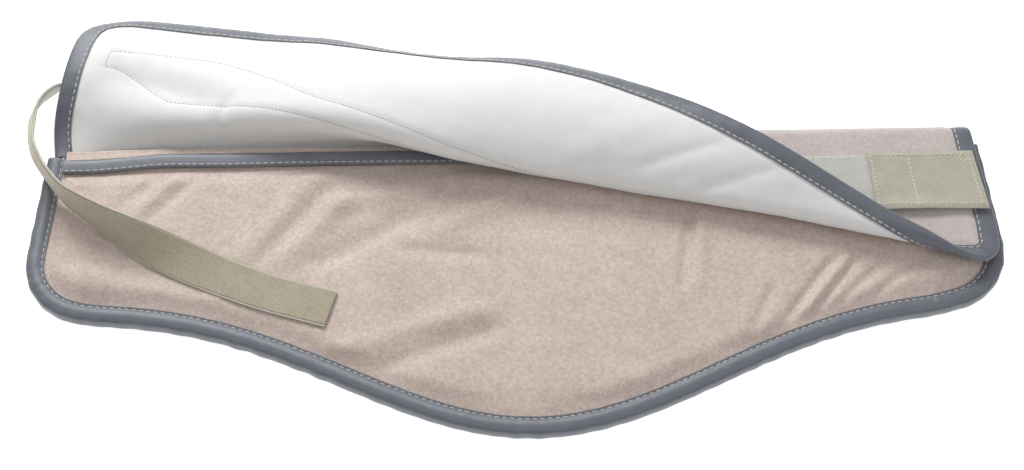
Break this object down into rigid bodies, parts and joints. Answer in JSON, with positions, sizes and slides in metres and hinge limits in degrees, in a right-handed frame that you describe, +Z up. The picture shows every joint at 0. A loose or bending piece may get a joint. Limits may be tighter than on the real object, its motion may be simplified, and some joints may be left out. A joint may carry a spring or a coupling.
{
  "type": "heated lumbar wrap",
  "caption": "Fabric heat wrap with a lobed pocket for a slim heater, a folded flap peeled back at its free edge, a belt band, a hook tab and a hook-and-loop strap.",
  "frame": {"origin": "bottom centre of the wrap's box, where it lies on a table", "axes": "+X along the wrap's length towards the closed end of the flap, +Y from the lobe towards the fold, +Z up"},
  "size_m": [0.5902, 0.2862, 0.0446],
  "materials": {
    "fleece": "short brushed pile, beige-pink",
    "lining": "fine white twill",
    "binding_tape": "satin grey folded tape",
    "loop_tape": "pale grey-green loop tape",
    "hook_tape": "ribbed khaki tape",
    "strap_tape": "khaki velour tape",
    "felt": "soft needled felt",
    "foil": "bright foil",
    "heating_film": "black carbon film",
    "copper": "bright copper strip",
    "cutout_body": "off-white moulded body",
    "inlet_plastic": "moulded black plastic",
    "inlet_brass": "brass pin",
    "disc_plastic": "grey flat disc"
  },
  "bodies": {
    "root": {"back_panel_fleece": "fleece", "front_panel_fleece": "fleece", "mouth_facing": "fleece", "flap_left_fleece": "fleece", "back_panel_lining": "lining", "front_panel_lining": "lining", "flap_left_lining": "lining", "edge_binding": "binding_tape", "mouth_binding": "binding_tape", "flap_left_binding": "binding_tape", "flap_left_belt_band": "loop_tape", "strap_anchor": "strap_tape", "flap_left_wadding": "felt", "heater_back_felt": "felt", "heater_front_felt": "felt", "heater_foil": "foil", "heating_film": "heating_film", "bus_bar_upper": "copper", "bus_bar_lower": "copper", "thermal_cutout_left": "cutout_body", "thermal_cutout_middle": "cutout_body", "inlet_housing": "inlet_plastic", "inlet_pin_left": "inlet_brass", "inlet_pin_right": "inlet_brass", "lining_disc_left": "disc_plastic"},
    "flap_end": {"flap_right_fleece": "fleece", "flap_right_lining": "lining", "flap_right_binding": "binding_tape", "flap_right_belt_band": "loop_tape", "hook_tab": "hook_tape", "flap_right_wadding": "felt", "lining_disc_right": "disc_plastic"},
    "strap_loop": {"strap_bow": "strap_tape"},
    "strap_free": {"strap_run": "strap_tape"}
  },
  "joints": [
    {"name": "flap_fold", "type": "hinge", "parent": "root", "child": "flap_end", "pos_m": [0.17513, 0.04668, 0.0085], "axis": [1, 0, 0], "range_deg": [-45, 0]},
    {"name": "strap_swing", "type": "hinge", "parent": "root", "child": "strap_loop", "pos_m": [-0.27937, 0.09018, 0.012], "axis": [0, 0, 1], "range_deg": [-90, 0]},
    {"name": "strap_lift", "type": "hinge", "parent": "strap_loop", "child": "strap_free", "pos_m": [-0.17887, -0.03732, 0.0142], "axis": [-0.3879, -0.9217, 0], "range_deg": [0, 60]}
  ]
}
